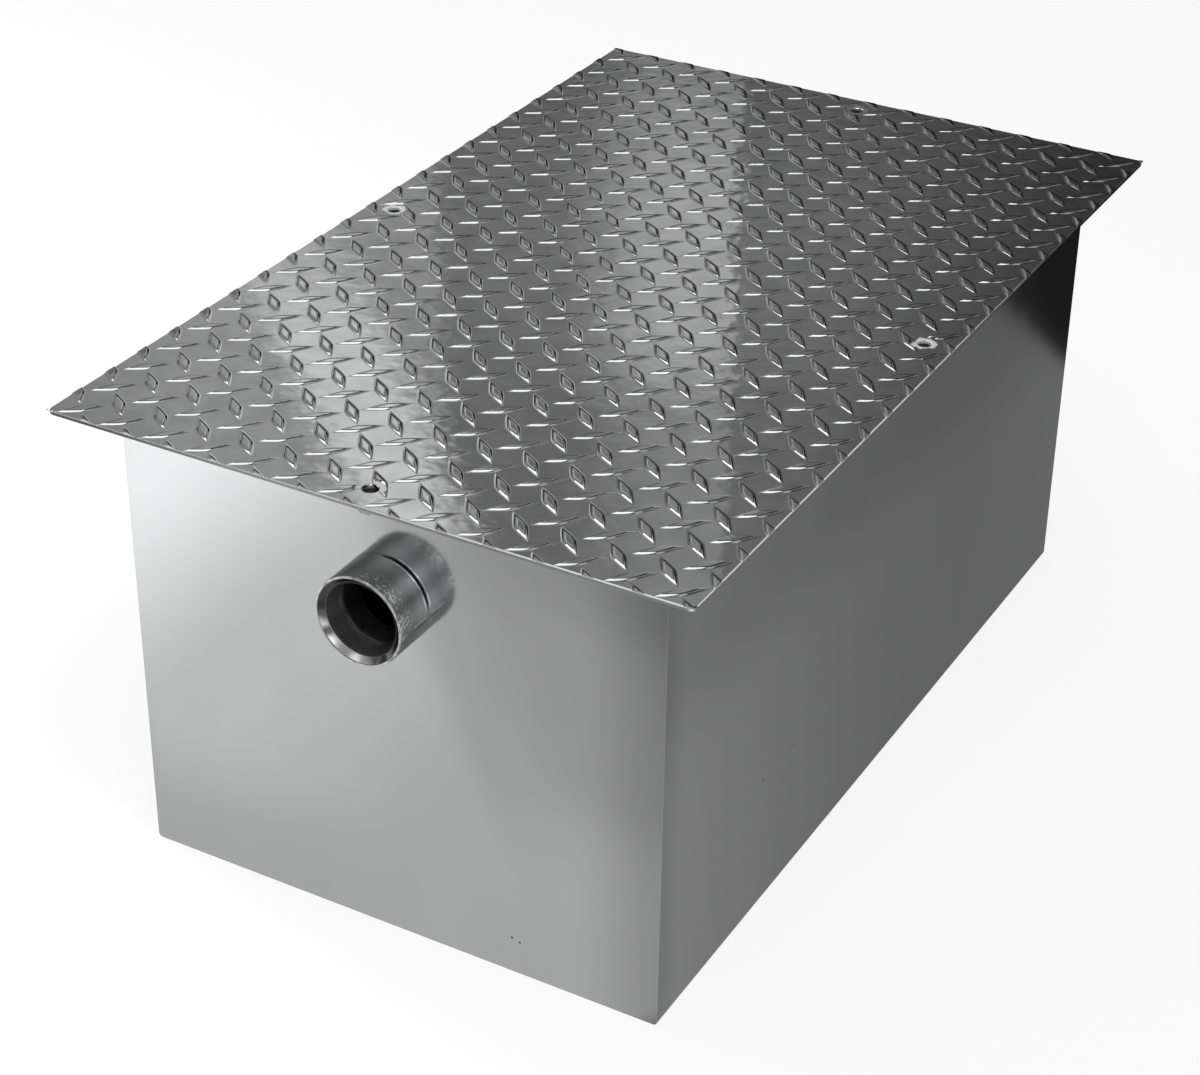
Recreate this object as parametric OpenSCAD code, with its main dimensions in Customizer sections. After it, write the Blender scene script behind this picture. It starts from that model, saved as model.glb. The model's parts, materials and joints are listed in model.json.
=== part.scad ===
// Grease trap: a folded sheet tank with a loose tread plate lid.
// The origin is on the floor under the tank's middle, +Z is up, and the inlet faces -Y.

/* [Tank] */
// Outside width of the tank, across the flow
tank_w = 457; // [380:1:600]
// Outside length of the tank, along the flow
tank_l = 776; // [620:1:1000]
// Height from the floor to the top of the rim
tank_h = 392; // [300:1:500]
// Thickness of the tank's sheet
sheet_t = 2; // [1.5:0.1:3]
// Inside radius of the folds in the sheet
fold_r = 1.5; // [1:0.1:3]
// Width of the rim that is turned outward at the top of the walls
rim_w = 30; // [26:1:36]

/* [Pipe couplings] */
// Depth of the pipe's centre below the top of the rim
pipe_drop = 92; // [75:1:140]
// Outside diameter of a coupling
coupling_d = 73; // [68:0.5:90]
// Diameter of a coupling's bore
coupling_bore = 57; // [45:0.5:58]
// Length of a coupling outside the wall
coupling_out = 36; // [20:1:60]
// Length of a coupling inside the wall
coupling_in = 6; // [3:1:20]
// Width of the bevel at the mouth of the bore
mouth_bevel = 3.5; // [1:0.1:4]
// Width of the bevel on a coupling's outer edges
edge_bevel = 1; // [0.4:0.1:2]
// Gap between a coupling and its hole in the wall
coupling_gap = 0.15; // [0.1:0.05:0.5]

/* [Lid] */
// Thickness of the lid's plate, without the lugs
lid_t = 3.2; // [2:0.1:6]
// Distance that the lid stands out past the walls
lid_overhang = 38; // [37:1:50]
// Radius of the lid's corners
lid_corner_r = 6; // [2:0.5:20]
// Diameter of the lid's screw holes
screw_hole_d = 11; // [10.5:0.5:13]
// Distance of the screw holes from the walls
screw_offset = 14; // [13:0.5:18]
// Diameter of the spot round each screw hole where the lugs are ground off
spot_d = 22; // [16:1:30]

/* [Tread] */
// Distance from lug to lug across the lid
lug_pitch_x = 38; // [34:1:50]
// Distance from lug to lug along the lid
lug_pitch_y = 39; // [34:1:50]
// Length of a lug at its foot
lug_l = 35.5; // [26:0.5:36]
// Width of a lug at its foot
lug_w = 9.4; // [6:0.1:11]
// Height of a lug
lug_h = 1.1; // [0.8:0.1:2.5]
// Width of a lug's sloping sides, seen from above
lug_slope = 1.2; // [0.5:0.1:2]
// Shift of the tread across the lid, as the sheet was cut
tread_shift_x = 2; // [-19:1:19]
// Shift of the tread along the lid, as the sheet was cut
tread_shift_y = -3; // [-19:1:19]

/* [Seal and nuts] */
// Thickness of the gasket
gasket_t = 3; // [2:0.5:6]
// Width of the gasket's strip
gasket_w = 22; // [18:1:24]
// Width across the flats of a nut
nut_flats = 17; // [16:0.5:19]
// Height of a nut
nut_h = 8; // [5:0.5:12]
// Diameter of a nut's bore
nut_bore = 10; // [10:0.1:10.4]

/* [Baffles] */
// Thickness of a baffle's sheet
baffle_t = 1.5; // [1:0.1:3]
// Distance from the inlet wall to the inlet baffle
inlet_bay = 100; // [60:1:160]
// Distance from the outlet wall to the outlet baffle
outlet_bay = 120; // [60:1:160]
// Depth of a baffle's top below the top of the rim
baffle_drop = 25; // [10:1:60]
// Width of the lip that is turned over at the top of a baffle
baffle_lip = 20; // [10:1:30]
// Height of the gap that water passes through under a baffle
under_h = 75; // [40:1:120]

/* [Baffle guides] */
// Thickness of a guide's sheet
guide_t = 1.5; // [1:0.1:3]
// Depth of a guide's channel
guide_depth = 16; // [10:1:24]
// Depth of a guide's top below the top of the rim
guide_drop = 70; // [65:1:120]
// Gap between a baffle and its guides, on each side
slide_gap = 0.75; // [0.4:0.05:1.5]

/* [Hidden] */
$fn = 96;
// Overshoot of a cut past the surface it leaves through
cut = 1;

pipe_z = tank_h - pipe_drop;
lid_w = tank_w + 2 * lid_overhang;
lid_l = tank_l + 2 * lid_overhang;
lid_z = tank_h + gasket_t;
screw_x = tank_w / 2 + screw_offset;
screw_y = tank_l / 2 + screw_offset;
screw_places = [[screw_x, 0], [-screw_x, 0], [0, screw_y], [0, -screw_y]];

// A lug's foot is a rhombus, the angle of its sides follows from its length and width
lug_turn = atan(lug_w / lug_l);
// Depth that a lug is sunk in the plate
lug_root = 0.5;

baffle_w = tank_w - 2 * (sheet_t + guide_t + slide_gap);
baffle_top = tank_h - baffle_drop;
baffle_foot = sheet_t + under_h;
inlet_baffle_y = -tank_l / 2 + sheet_t + inlet_bay;
outlet_baffle_y = tank_l / 2 - sheet_t - outlet_bay;

// Sweeps a section of Y and Z across the tank, along X
module across(width) {
    rotate([90, 0, 90]) linear_extrude(width, center = true) children();
}

// Sweeps a section of X and Z along the tank, along Y
module along(length) {
    rotate([90, 0, 0]) linear_extrude(length, center = true) children();
}

// Section of a sheet folded once, with its outer corner at the origin
module folded_section(up, out, thick) {
    outer_r = fold_r + thick;
    translate([0, outer_r]) square([thick, up - outer_r]);
    translate([outer_r, 0]) square([out - outer_r, thick]);
    difference() {
        intersection() {
            translate([outer_r, outer_r]) circle(outer_r);
            square(outer_r);
        }
        translate([outer_r, outer_r]) circle(fold_r);
    }
}

// Section of a wall whose outer face is at zero, with the rim turned outward
module rim_section(up) {
    translate([-sheet_t, tank_h])
        mirror([0, 1])
            folded_section(up, rim_w + sheet_t, sheet_t);
}

// Rectangle with round corners
module round_rectangle(width, length, radius) {
    square([width - 2 * radius, length], center = true);
    square([width, length - 2 * radius], center = true);
    for (x = [-1, 1], y = [-1, 1])
        translate([x * (width / 2 - radius), y * (length / 2 - radius)])
            circle(radius);
}

module screw_holes(diameter, low, high) {
    for (place = screw_places)
        translate([place[0], place[1], low])
            cylinder(d = diameter, h = high - low);
}

module body_wrap() {
    color("silver")
        difference() {
            union() {
                along(tank_l - 2 * sheet_t)
                    for (side = [0, 1])
                        mirror([side, 0]) {
                            translate([tank_w / 2, 0])
                                mirror([1, 0])
                                    folded_section(tank_h / 2, tank_w / 2, sheet_t);
                            translate([tank_w / 2, 0]) rim_section(tank_h / 2);
                        }
                for (x = [0, 1], y = [0, 1])
                    mirror([x, 0, 0])
                        mirror([0, y, 0])
                            translate([tank_w / 2, tank_l / 2 - sheet_t, tank_h - sheet_t])
                                cube([rim_w, rim_w + sheet_t, sheet_t]);
            }
            screw_holes(screw_hole_d, tank_h - sheet_t - cut, tank_h + cut);
        }
}

// End wall at -Y. Its lower corners follow the folds of the wrap.
module end_panel() {
    outer_r = fold_r + sheet_t;
    difference() {
        intersection() {
            across(tank_w) translate([-tank_l / 2, 0]) mirror([1, 0]) rim_section(tank_h);
            along(2 * tank_l)
                translate([0, tank_h / 2 + outer_r])
                    round_rectangle(tank_w, tank_h + 2 * outer_r, outer_r);
        }
        translate([0, -tank_l / 2, pipe_z])
            rotate([90, 0, 0])
                cylinder(d = coupling_d + 2 * coupling_gap, h = 2 * (sheet_t + cut), center = true);
        screw_holes(screw_hole_d, tank_h - sheet_t - cut, tank_h + cut);
    }
}

module inlet_end_panel() {
    color("gainsboro") end_panel();
}

module outlet_end_panel() {
    color("gainsboro") mirror([0, 1, 0]) end_panel();
}

// Turned coupling at -Y, with a bevelled mouth
module coupling() {
    outer = coupling_d / 2;
    inner = coupling_bore / 2;
    back = -sheet_t - coupling_in;
    translate([0, -tank_l / 2, pipe_z])
        rotate([90, 0, 0])
            rotate_extrude()
                polygon([
                    [inner, back],
                    [outer - edge_bevel, back],
                    [outer, back + edge_bevel],
                    [outer, coupling_out - edge_bevel],
                    [outer - edge_bevel, coupling_out],
                    [inner + mouth_bevel, coupling_out],
                    [inner, coupling_out - mouth_bevel]
                ]);
}

module inlet_coupling() {
    color("dimgray") coupling();
}

module outlet_coupling() {
    color("dimgray") mirror([0, 1, 0]) coupling();
}

// Raised lug with four sloping sides, where two ridges cross
module lug() {
    foot = lug_l * sin(lug_turn) / 2;
    root = foot + lug_root * lug_slope / lug_h;
    crest = foot - lug_slope;
    intersection_for(turn = [-lug_turn, lug_turn])
        rotate(turn)
            across(2 * lug_l)
                polygon([[-root, -lug_root], [root, -lug_root], [crest, lug_h], [-crest, lug_h]]);
}

// Lattice of lugs that point left and right by turns, each at its neighbour's middle
module tread() {
    columns = ceil(lid_w / lug_pitch_x / 2) + 1;
    rows = ceil(lid_l / lug_pitch_y / 2) + 1;
    for (column = [-columns : columns], row = [-rows : rows], turn = [0, 1]) {
        x = (column + turn / 2) * lug_pitch_x + tread_shift_x;
        y = (row + turn / 2) * lug_pitch_y + tread_shift_y;
        if (abs(x) < (lid_w + lug_l) / 2 && abs(y) < (lid_l + lug_l) / 2)
            translate([x, y, 0]) rotate(turn == 0 ? -45 : 45) lug();
    }
}

module lid_blank(thick) {
    linear_extrude(thick) round_rectangle(lid_w, lid_l, lid_corner_r);
}

module lid() {
    color("darkgray")
        translate([0, 0, lid_z])
            difference() {
                union() {
                    lid_blank(lid_t);
                    intersection() {
                        difference() {
                            translate([0, 0, lid_t]) tread();
                            screw_holes(spot_d, 0, lid_t + lug_h + cut);
                        }
                        lid_blank(lid_t + lug_h + cut);
                    }
                }
                screw_holes(screw_hole_d, -cut, lid_t + lug_h + cut);
            }
}

module lid_gasket() {
    outer = 2 * screw_offset + gasket_w;
    inner = 2 * screw_offset - gasket_w;
    color("black")
        translate([0, 0, tank_h])
            difference() {
                linear_extrude(gasket_t)
                    difference() {
                        square([tank_w + outer, tank_l + outer], center = true);
                        square([tank_w + inner, tank_l + inner], center = true);
                    }
                screw_holes(screw_hole_d, -cut, gasket_t + cut);
            }
}

module lid_nuts() {
    color("gray")
        for (place = screw_places)
            translate([place[0], place[1], tank_h - sheet_t - nut_h])
                difference() {
                    cylinder(d = nut_flats / cos(30), h = nut_h, $fn = 6);
                    translate([0, 0, -cut]) cylinder(d = nut_bore, h = nut_h + 2 * cut);
                }
}

// Baffle on the plane y = 0 that stands in its guides, with its lip turned to +Y
module baffle() {
    across(baffle_w)
        translate([-baffle_t / 2, baffle_top])
            mirror([0, 1])
                folded_section(baffle_top - baffle_foot, baffle_lip, baffle_t);
}

module inlet_baffle() {
    color("lightgray") translate([0, inlet_baffle_y, 0]) baffle();
}

module outlet_baffle() {
    color("lightgray") translate([0, outlet_baffle_y, 0]) mirror([0, 1, 0]) baffle();
}

// Channel on the right wall, round the baffle's edge on the plane y = 0.
// Its lower end is closed, and the baffle stands on it.
module guide() {
    slot = baffle_t + 2 * slide_gap;
    length = tank_h - guide_drop - baffle_foot;
    translate([tank_w / 2 - sheet_t - guide_depth, 0, baffle_foot])
        difference() {
            translate([0, -slot / 2 - guide_t, -guide_t])
                cube([guide_depth, slot + 2 * guide_t, length + guide_t]);
            translate([-cut, -slot / 2, 0])
                cube([guide_depth - guide_t + cut, slot, length + cut]);
        }
}

module inlet_guide_right() {
    color("lightgray") translate([0, inlet_baffle_y, 0]) guide();
}

module inlet_guide_left() {
    color("lightgray") translate([0, inlet_baffle_y, 0]) mirror([1, 0, 0]) guide();
}

module outlet_guide_right() {
    color("lightgray") translate([0, outlet_baffle_y, 0]) guide();
}

module outlet_guide_left() {
    color("lightgray") translate([0, outlet_baffle_y, 0]) mirror([1, 0, 0]) guide();
}

body_wrap();
inlet_end_panel();
outlet_end_panel();
inlet_coupling();
outlet_coupling();
lid();
lid_gasket();
lid_nuts();
inlet_baffle();
outlet_baffle();
inlet_guide_left();
inlet_guide_right();
outlet_guide_left();
outlet_guide_right();
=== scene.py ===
import json
import math
import bmesh
import bpy
import numpy as np
from mathutils import Matrix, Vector
from mathutils import geometry


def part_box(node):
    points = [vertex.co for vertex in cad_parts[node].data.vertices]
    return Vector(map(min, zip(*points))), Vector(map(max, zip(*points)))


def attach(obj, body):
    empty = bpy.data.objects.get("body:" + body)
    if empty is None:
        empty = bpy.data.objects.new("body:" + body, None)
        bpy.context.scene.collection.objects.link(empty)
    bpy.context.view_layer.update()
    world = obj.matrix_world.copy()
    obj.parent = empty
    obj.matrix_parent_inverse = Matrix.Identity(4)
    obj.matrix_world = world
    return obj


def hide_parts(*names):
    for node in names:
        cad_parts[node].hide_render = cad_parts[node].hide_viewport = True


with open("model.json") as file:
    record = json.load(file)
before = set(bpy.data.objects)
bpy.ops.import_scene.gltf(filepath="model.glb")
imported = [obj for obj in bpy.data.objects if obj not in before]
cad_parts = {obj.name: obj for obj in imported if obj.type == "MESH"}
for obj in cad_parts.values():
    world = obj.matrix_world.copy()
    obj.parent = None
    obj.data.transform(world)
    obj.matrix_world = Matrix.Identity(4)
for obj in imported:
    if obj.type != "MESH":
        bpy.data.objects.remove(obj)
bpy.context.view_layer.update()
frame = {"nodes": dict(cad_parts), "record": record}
mounts = {mount["name"]: mount for mount in frame["record"]["mounts"]}

MM = 0.001
DEGREE = math.pi / 180
FULL_TURN = 2 * math.pi
QUARTER_TURN = math.pi / 2
HALF_ROOT = math.sqrt(0.5)

# Camera, solved from the corners of the tank and the lid
IMAGE_WIDTH = 1200
FOCAL_PIXELS = 2712
SENSOR_WIDTH = 36
CAMERA_PLACE = (0.9292, -1.7494, 1.3422)
CAMERA_AZIMUTH = 28.99 * DEGREE
CAMERA_ELEVATION = 31.06 * DEGREE
CAMERA_ROLL = 0.80 * DEGREE

# Outer faces of the tank's walls
WALL_X = 228.5 * MM
WALL_Y = 388 * MM

# Lid
LID_LOW, LID_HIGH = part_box("lid")
LID_HALF_WIDTH = LID_HIGH.x
LID_HALF_LENGTH = LID_HIGH.y
LID_BOTTOM = LID_LOW.z
LID_THICK = 3.2 * MM
LID_TOP = LID_BOTTOM + LID_THICK
LID_CORNER = 6 * MM
CORNER_STEPS = 8
# Edge of the plate from its bottom to its top: inset from the outline and height
LID_EDGE = np.array([
    (1.0, 0.0), (0.25, 0.0), (0.0, 0.25), (0.0, 2.3), (0.8, 3.12), (1.0, 3.2), (2.0, 3.2),
]) * MM

# Screw holes of the lid
SCREW_X = mounts["lid_screws_across"]["dims"]["spacing_x_mm"] / 2 * MM
SCREW_Y = mounts["lid_screws_along"]["dims"]["spacing_y_mm"] / 2 * MM
SCREW_PLACES = ((SCREW_X, 0.0), (-SCREW_X, 0.0), (0.0, SCREW_Y), (0.0, -SCREW_Y))
HOLE_STEPS = 40
# Wall of a hole from the plate's top to its bottom: radius and height
HOLE_WALL = np.array([
    (6.7, 3.2), (6.3, 3.12), (5.6, 2.6), (5.5, 2.4), (5.5, 0.4), (6.0, 0.0), (8.0, 0.0),
]) * MM
# Ground spot round a hole, and the slope at which lugs may rise from its edge
SPOT_RADIUS = 11 * MM
SPOT_SLOPE = 0.8

# Tread of the lid
LUG_PITCH = np.array([38, 39]) * MM
LUG_SHIFT = np.array([2, -3]) * MM
LUG_HALF_LENGTH = 17.75 * MM
LUG_HALF_WIDTH = 4.7 * MM
LUG_STEPS = 12
# Exponent of a lug's outline: 1 is a rhombus and 2 an ellipse
LUG_FULLNESS = 1.18
# Section of a lug: distance inside its foot, and height over the plate
LUG_STOPS = np.array([-0.4, 0.0, 0.95, 1.25, 1.6, 2.6]) * MM
LUG_HEIGHTS = np.array([-0.35, 0.0, 0.75, 0.92, 1.0, 1.03]) * MM
LUG_DEPTH = LUG_HALF_LENGTH * LUG_HALF_WIDTH / math.hypot(LUG_HALF_LENGTH, LUG_HALF_WIDTH)
LUG_REACHES = 1 - LUG_STOPS / LUG_DEPTH
LUG_ROOT = -LUG_HEIGHTS[0]
LUG_HEIGHT = LUG_HEIGHTS[-1]
# Lugs near a hole have more rings, from the foot to close to the middle
FINE_STEPS = 60
FINE_RINGS = 15
FINE_MIDDLE = 0.06
FINE_REACHES = np.concatenate([LUG_REACHES[:1], np.linspace(1.0, FINE_MIDDLE, FINE_RINGS)])
# A lug that the roll filled least has this share of the full height
LUG_LEAST = 0.93
LUG_SEED = 5
# Lugs are pressed flat where the sheet was sheared, along the left and back edges
PRESS_WIDTH = 9 * MM
PRESS_LEAST = 0.1
CUT_PRECISION = 1e-7

# Pipe couplings
PIPE_Z = mounts["inlet"]["pos_m"][2]
PIPE_STEPS = 96
# Outside of a coupling from its inner end to the cone of its mouth: reach from the wall and radius
PIPE_OUTSIDE = np.array([
    (-8.0, 33.0), (-8.0, 35.5), (-7.0, 36.5), (-0.6, 36.5), (-0.4, 36.5), (0.9, 36.5), (1.8, 36.5),
    (2.2, 36.5), (10.0, 36.5), (20.0, 36.5), (34.6, 36.5), (35.3, 36.4), (35.8, 36.1), (36.0, 35.6),
    (36.0, 34.9), (35.8, 34.5), (35.4, 34.0), (32.2, 30.5), (31.8, 29.9),
]) * MM
PIPE_BACK = np.array([(8.0, 28.5), (-7.6, 28.5), (-8.0, 28.9)]) * MM
BORE_RADIUS = 28.5 * MM
THREAD_PITCH = 2.21 * MM
THREAD_DEPTH = 1.1 * MM
THREAD_TURNS = 10
THREAD_STEPS = 8
THREAD_START = 31.4 * MM
THREAD_END = 9 * MM
THREAD_FADE = 6 * MM
# The groove's depth is a triangle wave of this height, cut off at 1
THREAD_PEAK = 1.25
# Slot between a coupling and the wall, open at the upper side only
SLOT_MIDDLE = 50 * DEGREE
SLOT_HALF = 44 * DEGREE
SLOT_DEPTH = 2.4 * MM
SLOT_STOPS = np.array([-0.6, -0.4, 0.9, 1.8]) * MM
SLOT_SHARES = np.array([0, 1, 1, 0])
# Knocks in the mouth's edge: waves in a turn, start and share of each sine
KNOCK_DEPTH = 0.09 * MM
KNOCK_START = 34 * MM
KNOCK_FADE = 1.5 * MM
KNOCK_WAVES = ((5, 1, 1.0), (11, 2, 0.6), (23, 0, 0.4))

# Creases sharper than these angles stay sharp in the shading
LID_CREASE = 15 * DEGREE
PIPE_CREASE = 33 * DEGREE
# Faces whose normal is this upright are level, and are shaded flat
LEVEL_NORMAL = 0.99995

# Polished sheet
SHEET_DULL = (0.60, 0.605, 0.61)
SHEET_BRIGHT = (0.78, 0.785, 0.79)
# Colour of the dark specks and of the painted shade
SHEET_SPECK_AND_PAINTED_SHADE = (0.02, 0.02, 0.02)
SHEET_WAVE = 0.5 * MM
# Painted shade: the end walls are darkened towards the right, the side walls towards the front
END_SHADE = 0.32
END_SHADE_START = 150 * MM
END_SHADE_FULL = 234 * MM
SIDE_SHADE = 0.2
SIDE_SHADE_WIDTH = 35 * MM
# Small dark specks on the right wall and the front wall
SPECK_RADIUS = 1.2 * MM
SPECKS = (
    (WALL_X, -223 * MM, 120 * MM),
    (WALL_X, -169 * MM, 120 * MM),
    (104 * MM, -WALL_Y, 32 * MM),
    (111 * MM, -WALL_Y, 30 * MM),
)

# Tread plate
PLATE_DULL = (0.48, 0.483, 0.487)
PLATE_BRIGHT = (0.70, 0.703, 0.707)
PLATE_RELIEF = 1.0 * MM
# Cut edge, painted with light and shade: painted shade at the left, painted light at the right, and painted
# shade along the far end of the right edge
EDGE_PAINTED_SHADE = (0.12, 0.12, 0.122)
EDGE_PAINTED_LIGHT = (0.50, 0.50, 0.505)
EDGE_FAR_PAINTED_SHADE = (0.05, 0.05, 0.05)
EDGE_FAR_SHARE = 0.85
# Scuffed patch round a screw hole: its ragged edge, and its strength at the lid's short edges
SCUFF_FULL = 8.5 * MM
SCUFF_RADIUS = 10 * MM
SCUFF_RAG = 15 * MM
SCUFF_LEAST = 0.15
# Where the plate starts to be drawn up round a lug, as shares of the lug's outline
DRAWN_FULL = 0.97
DRAWN_START = 1.22

# Pipe steel
SKIN_DARK = (0.05, 0.05, 0.052)
SKIN_LIGHT = (0.36, 0.363, 0.366)
# Cone of the mouth: its own dark colour, and the colour of its painted highlight
CONE_DARK = (0.09, 0.09, 0.092)
CONE_PAINTED_HIGHLIGHT = (0.78, 0.78, 0.785)
# Colour of the worn rim, flecks and scratch, and of the painted glint on the seat
WORN_AND_GLINT_BRIGHT = (0.84, 0.84, 0.845)
SKIN_RELIEF = 0.12 * MM
# Tool marks of the cone, as radians in a metre of radius
CONE_MARKS = 6000

# Rubber, nuts and mill sheet
RUBBER_BLACK = (0.02, 0.02, 0.02)
RUBBER_DUSTY = (0.055, 0.055, 0.055)
RUBBER_RELIEF = 0.05 * MM
NUT_DULL = (0.46, 0.46, 0.47)
NUT_BRIGHT = (0.68, 0.68, 0.69)
MILL_STAINED = (0.40, 0.395, 0.385)
MILL_BRIGHT = (0.70, 0.705, 0.71)
STAIN_FULL = 60 * MM
STAIN_END = 260 * MM
FINE_RELIEF = 0.02 * MM

# Round soft boxes in the room: azimuth from +Y towards -X, elevation, radius, soft edge, level
SOFT_BOXES = (
    # high up, for the tips of the lugs' near sides
    (130, 85.5, 14.7, 2, 1.65),
    # low on the left, for the lugs' far left sides
    (58, 0, 9, 5, 0.5),
    # on the right, for the lugs' near right sides
    (-76, 70, 12, 8, 0.55),
    (-40, 65, 13, 12, 0.3),
    (-31, 54, 11, 10, 0.24),
    # straight behind, for the lugs' far right sides
    (5, 21, 9, 4, 0.4),
    # at the front, for the lid's front edge and the coupling's mouth
    (153, 50, 18, 5, 1.2),
    (-143, 28, 15, 5, 2.0),
    # between them, for the lid's front corner
    (-114, 57, 17, 7, 0.9),
    (-172, 58, 12, 5, 0.9),
    # at the back right, for the lid's right edge
    (-35, 24, 14, 5, 1.15),
)

# Window on the left with one leaning side, for the lugs' near left sides
WINDOW_LEFT = 112 * DEGREE
WINDOW_RIGHT = 79 * DEGREE
WINDOW_END = 70 * DEGREE
WINDOW_LOW = 20 * DEGREE
WINDOW_HIGH = 50 * DEGREE
WINDOW_MIDDLE = 32 * DEGREE
WINDOW_LEAN = 0.6
WINDOW_SOFT = 2.5 * DEGREE
WINDOW_LEVEL = 1.9

# Upright strips round the sides and the front of the room: low and high azimuth, soft edge, level
STRIPS = (
    (-118, -100, 4, 0.5),
    (-165, -150, 3, 0.3),
    (110, 116, 2, 0.5),
    (148, 160, 4, 0.4),
)
STRIP_LOW = 4 * DEGREE
STRIP_HIGH = 44 * DEGREE
STRIP_SOFT = 12 * DEGREE

# Walls of the room, which the lid mirrors: how bright their parts are
ROOM_DARK = 0.055
ROOM_GREY = 0.185
ROOM_LEFT = 0.15
ROOM_LEFT_STEP = 0.06
ROOM_LEFT_FALL = 0.11
ROOM_NEAR = 0.1
ROOM_RIGHT = 0.2
# Slanting strip on the far wall
SLANT_MIDDLE = 27 * DEGREE
SLANT_LEAN = 0.45

# Floor as the polished walls show it: painted light and shade that the floor gives off as a glow, seen only
# in reflections; how bright its parts are
POOL_LEFT = 0.362
POOL_RIGHT = 0.33
POOL_BEYOND = 0.3
SIDE_LEVEL = 0.12
SIDE_LEAST = 0.06
SIDE_MOST = 0.25
CORNER_LEVEL = 0.009
LEFT_LEVEL = 0.36
BACK_LEVEL = 0.32
FRONT_CORNER_LEVEL = 0.75
# Slanting edge of the light pool at the front
POOL_LEAN = 1.017
POOL_EDGE = 149 * MM
# How far inside the walls' faces the floor changes from the front to another side
SIDE_START = 30 * MM
SIDE_FULL = 4 * MM

# Even light of the room for all but the camera and reflections
ROOM_LIGHT = 0.5

# Floor and lamps
FLOOR_HALF = 12.0
FLOOR_DROP = 0.2 * MM
FLOOR_COLOUR = (0.86, 0.86, 0.86, 1)
FLOOR_GLOW = 0.82
# Share of the light that the polished walls give back
WALL_SHARE = 0.70
LAMP_DISTANCE = 2.6


class Signal:
    """A shader socket that joins in Python sums and makes new nodes in its own tree."""

    def __init__(self, tree, socket=None):
        self.tree = tree
        self.socket = socket

    def node(self, kind, settings, inputs, output=0):
        """Makes a node, sets it up, then fills its sockets with values or links."""
        made = self.tree.nodes.new(kind)
        for name, value in settings.items():
            setattr(made, name, value)
        for name, value in inputs.items():
            if isinstance(value, Signal):
                self.tree.links.new(value.socket, made.inputs[name])
            else:
                made.inputs[name].default_value = value
        return Signal(self.tree, made.outputs[output] if len(made.outputs) else None)

    def math(self, operation, *values):
        return self.node("ShaderNodeMath", {"operation": operation}, dict(enumerate(values)))

    def __add__(self, other):
        return self.math("ADD", self, other)

    def __radd__(self, other):
        return self.math("ADD", other, self)

    def __sub__(self, other):
        return self.math("SUBTRACT", self, other)

    def __rsub__(self, other):
        return self.math("SUBTRACT", other, self)

    def __mul__(self, other):
        return self.math("MULTIPLY", self, other)

    def __rmul__(self, other):
        return self.math("MULTIPLY", other, self)

    def __truediv__(self, other):
        return self.math("DIVIDE", self, other)

    def __rtruediv__(self, other):
        return self.math("DIVIDE", other, self)

    def __pow__(self, other):
        return self.math("POWER", self, other)

    def __neg__(self):
        return self.math("MULTIPLY", self, -1)

    def __abs__(self):
        return self.math("ABSOLUTE", self)

    def least(self, other):
        return self.math("MINIMUM", self, other)

    def most(self, other):
        return self.math("MAXIMUM", self, other)

    def repeat(self):
        """The value brought into the span from -0.5 to 0.5 by whole steps."""
        return self.math("FRACT", self + 0.5) - 0.5

    def rise(self, low, high):
        """A smooth step from 0 at low to 1 at high."""
        inputs = {"Value": self, "From Min": low, "From Max": high}
        return self.node("ShaderNodeMapRange", {"interpolation_type": "SMOOTHSTEP"}, inputs)

    def past(self, low, high):
        """A smooth step of an angle, from 0 at low degrees to 1 at high degrees."""
        return self.rise(low * DEGREE, high * DEGREE)

    def between(self, low, high, soft):
        """1 from low to high, with edges that fade over a soft width inside."""
        return self.rise(low, low + soft) * (1 - self.rise(high - soft, high))

    def axes(self):
        """The three numbers of a vector."""
        return [self.node("ShaderNodeSeparateXYZ", {}, {"Vector": self}, k) for k in range(3)]

    def distance(self, point):
        """How far this vector is from a point."""
        return self.node("ShaderNodeVectorMath", {"operation": "DISTANCE"}, {0: self, 1: point}, "Value")

    def dot(self, other):
        """The dot product of this vector and a fixed one."""
        return self.node("ShaderNodeVectorMath", {"operation": "DOT_PRODUCT"}, {0: self, 1: other}, "Value")

    def stretched(self, scale):
        """The vector with each axis scaled, so that a pattern on it is stretched."""
        return self.node("ShaderNodeMapping", {"vector_type": "POINT"}, {"Vector": self, "Scale": scale})

    def noise(self, scale, detail=2.0, roughness=0.5):
        """Cloudy noise from 0 to 1 on this vector."""
        inputs = {"Vector": self, "Scale": scale, "Detail": detail, "Roughness": roughness}
        return self.node("ShaderNodeTexNoise", {}, inputs)

    def mixed(self, first, second):
        """A colour between two colours, with this value as the share of the second."""
        colours = [c if isinstance(c, Signal) else (*c, 1) for c in (first, second)]
        return self.node("ShaderNodeMix", {"data_type": "RGBA"}, {0: self, 6: colours[0], 7: colours[1]}, 2)

    def bump(self, depth):
        """A normal from this height, where 1 stands for depth metres."""
        return self.node("ShaderNodeBump", {}, {"Height": self, "Distance": depth})


# Finishes

def open_finish(name):
    """An empty material, and the Object coordinates that its sums start from."""
    made = bpy.data.materials.new(name)
    made.use_nodes = True
    made.node_tree.nodes.clear()
    place = Signal(made.node_tree).node("ShaderNodeTexCoord", {}, {}, "Object")
    return made, place


def close_finish(place, inputs):
    """Feeds the shader from the sums and the output from the shader."""
    shader = place.node("ShaderNodeBsdfPrincipled", {}, inputs)
    place.node("ShaderNodeOutputMaterial", {}, {"Surface": shader})


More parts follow.
